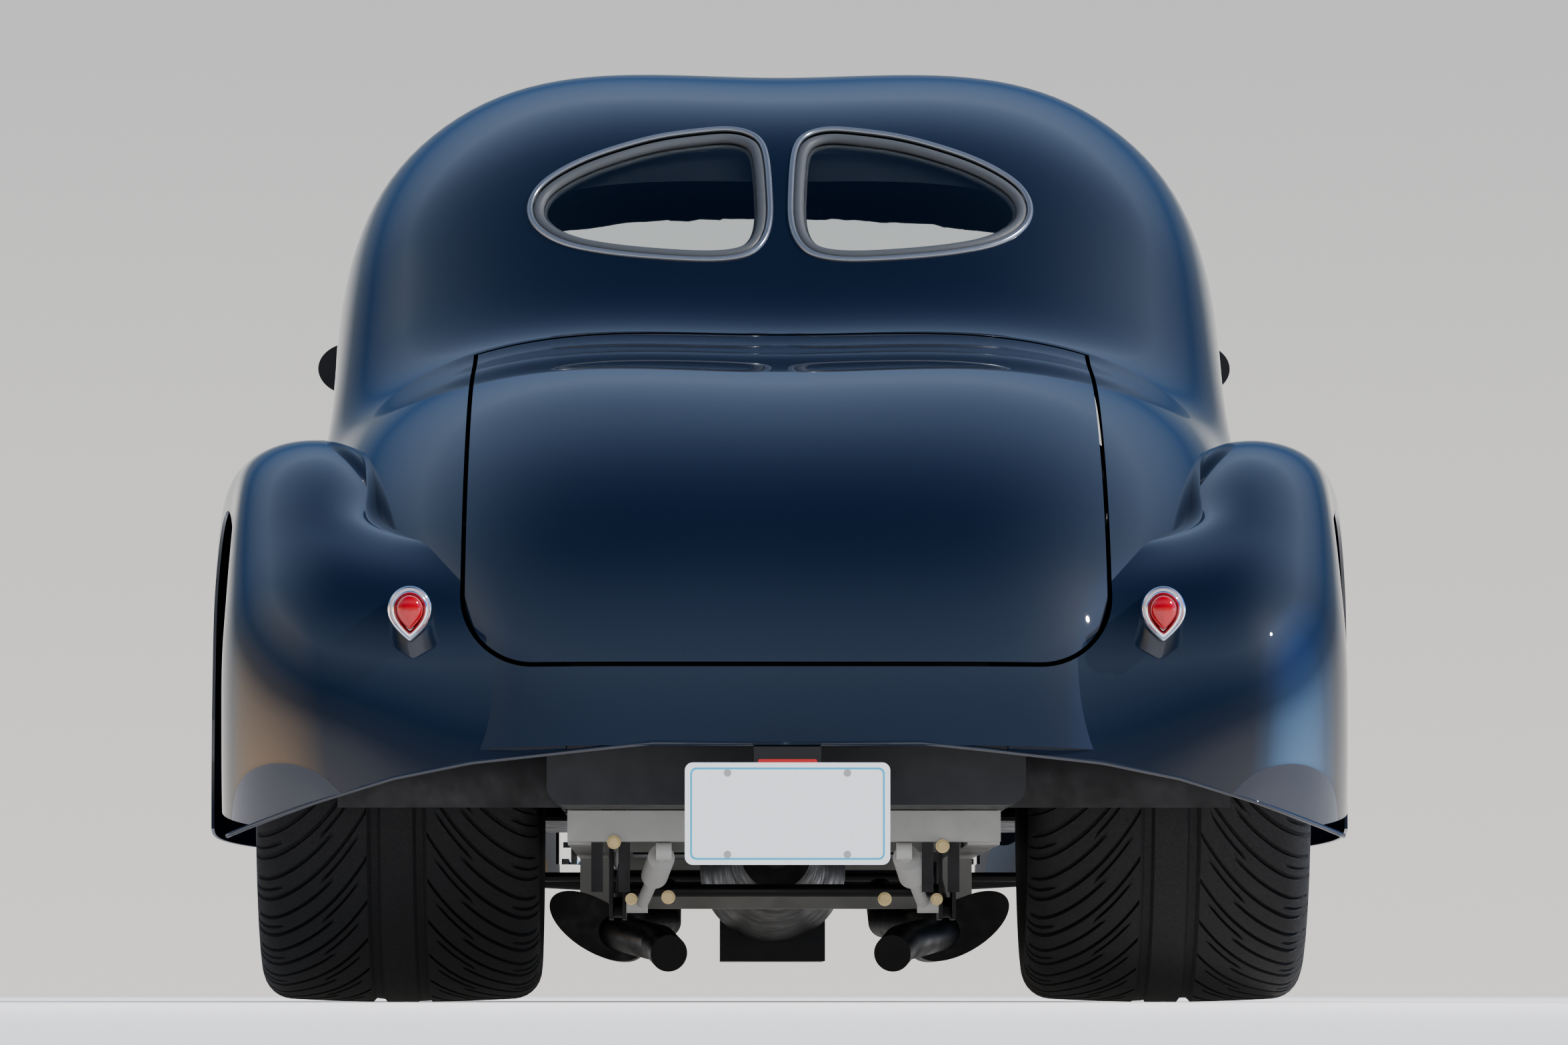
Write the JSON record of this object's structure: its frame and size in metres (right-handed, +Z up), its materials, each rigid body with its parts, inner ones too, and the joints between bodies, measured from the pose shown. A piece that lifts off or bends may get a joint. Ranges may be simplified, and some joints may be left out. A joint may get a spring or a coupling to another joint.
{
  "type": "street rod coupe",
  "caption": "Fastback street rod coupe with teardrop fenders, split rear window, wide rear tyres, and doors, deck lid, hood, steering and wheels that move.",
  "frame": {"origin": "on the floor, at the middle of the car's length and width", "axes": "+Y forward along the car, +X to its right-hand side, +Z up"},
  "size_m": [1.8666, 4.38, 1.5639],
  "materials": {
    "body_paint": "deep blue metallic under clear lacquer, polished",
    "window_glass": "tinted clear glass",
    "bright_trim": "polished plating",
    "red_lens": "ribbed red glass",
    "clear_lens": "fluted clear glass",
    "plate_white": "white enamel on pressed sheet",
    "mirror_black": "gloss black with a glass face",
    "floor_black": "satin black underseal",
    "chassis_black": "satin black",
    "axle_black": "black painted casting",
    "damper_grey": "silver-grey satin",
    "tank_grey": "dark grey satin",
    "exhaust_black": "heat-proof black",
    "engine_grey": "bare casting",
    "gearbox_alloy": "dull cast alloy",
    "tyre_rubber": "matt black, dusty",
    "wheel_alloy": "polished alloy",
    "seat_hide": "dark tan hide",
    "dash_paint": "body colour",
    "steering_black": "black rim, bright spokes"
  },
  "bodies": {
    "body": {"body_shell": "body_paint", "rear_glass": "window_glass", "windscreen": "window_glass", "nose_shell": "body_paint", "grille": "bright_trim", "rear_fenders": "body_paint", "front_fenders": "body_paint", "running_boards": "body_paint", "head_lamp_rings": "bright_trim", "head_lamp_lenses": "clear_lens", "tail_lamp_bezels": "bright_trim", "tail_lamp_lenses": "red_lens", "number_plate": "plate_white", "floor_pan": "floor_black", "chassis": "chassis_black", "rear_axle": "axle_black", "rear_dampers": "damper_grey", "rear_links": "chassis_black", "fuel_tank": "tank_grey", "exhaust": "exhaust_black", "engine_block": "engine_grey", "gearbox": "gearbox_alloy", "front_suspension": "chassis_black", "bench_seat": "seat_hide", "dash": "dash_paint"},
    "door_left": {"door_left": "body_paint", "door_glass_left": "window_glass", "mirror_left": "mirror_black"},
    "door_right": {"door_right": "body_paint", "door_glass_right": "window_glass", "mirror_right": "mirror_black"},
    "deck_lid": {"deck_lid": "body_paint"},
    "hood": {"hood": "body_paint"},
    "knuckle_left": {"knuckle_left": "axle_black"},
    "knuckle_right": {"knuckle_right": "axle_black"},
    "tie_rod": {"tie_rod": "axle_black"},
    "steering_wheel": {"steering_wheel": "steering_black"},
    "wheel_front_left": {"wheel_front_left": "wheel_alloy", "tyre_front_left": "tyre_rubber"},
    "wheel_front_right": {"wheel_front_right": "wheel_alloy", "tyre_front_right": "tyre_rubber"},
    "wheel_rear_left": {"wheel_rear_left": "wheel_alloy", "tyre_rear_left": "tyre_rubber"},
    "wheel_rear_right": {"wheel_rear_right": "wheel_alloy", "tyre_rear_right": "tyre_rubber"}
  },
  "joints": [
    {"name": "door_left_hinge", "type": "hinge", "parent": "body", "child": "door_left", "pos_m": [-0.7155, 0.5485, 0.7], "axis": [0, 0, -1], "range_deg": [0, 68]},
    {"name": "door_right_hinge", "type": "hinge", "parent": "body", "child": "door_right", "pos_m": [0.7155, 0.5485, 0.7], "axis": [0, 0, 1], "range_deg": [0, 68]},
    {"name": "deck_lid_hinge", "type": "hinge", "parent": "body", "child": "deck_lid", "pos_m": [0, -1.1705, 1.0685], "axis": [-1, 0, 0], "range_deg": [0, 52]},
    {"name": "hood_hinge", "type": "hinge", "parent": "body", "child": "hood", "pos_m": [0, 0.6435, 1.0935], "axis": [1, 0, 0], "range_deg": [0, 48]},
    {"name": "steer_left", "type": "hinge", "parent": "body", "child": "knuckle_left", "pos_m": [-0.572, 1.417, 0.325], "axis": [0, 0, 1], "range_deg": [-25, 25]},
    {"name": "steer_right", "type": "hinge", "parent": "body", "child": "knuckle_right", "pos_m": [0.572, 1.417, 0.325], "axis": [0, 0, 1], "range_deg": [-25, 25]},
    {"name": "tie_rod_slide", "type": "slide", "parent": "body", "child": "tie_rod", "axis": [1, 0, 0], "range_m": [-0.048, 0.048]},
    {"name": "steering_wheel_turn", "type": "hinge", "parent": "body", "child": "steering_wheel", "pos_m": [-0.35, 0.19, 0.905], "axis": [0, -0.8747, 0.4846], "range_deg": [-350.5, 350.5]},
    {"name": "spin_front_left", "type": "hinge", "parent": "knuckle_left", "child": "wheel_front_left", "pos_m": [-0.66, 1.417, 0.325], "axis": [-1, 0, 0], "continuous": true},
    {"name": "spin_front_right", "type": "hinge", "parent": "knuckle_right", "child": "wheel_front_right", "pos_m": [0.66, 1.417, 0.325], "axis": [-1, 0, 0], "continuous": true},
    {"name": "spin_rear_left", "type": "hinge", "parent": "body", "child": "wheel_rear_left", "pos_m": [-0.6, -1.225, 0.368], "axis": [-1, 0, 0], "continuous": true},
    {"name": "spin_rear_right", "type": "hinge", "parent": "body", "child": "wheel_rear_right", "pos_m": [0.6, -1.225, 0.368], "axis": [-1, 0, 0], "continuous": true}
  ],
  "couplings": [
    {"joint": "steer_right", "follows": "steer_left", "ratio": 1},
    {"joint": "tie_rod_slide", "follows": "steer_left", "m_per_rad": 0.1085},
    {"joint": "steering_wheel_turn", "follows": "steer_left", "ratio": 14}
  ]
}
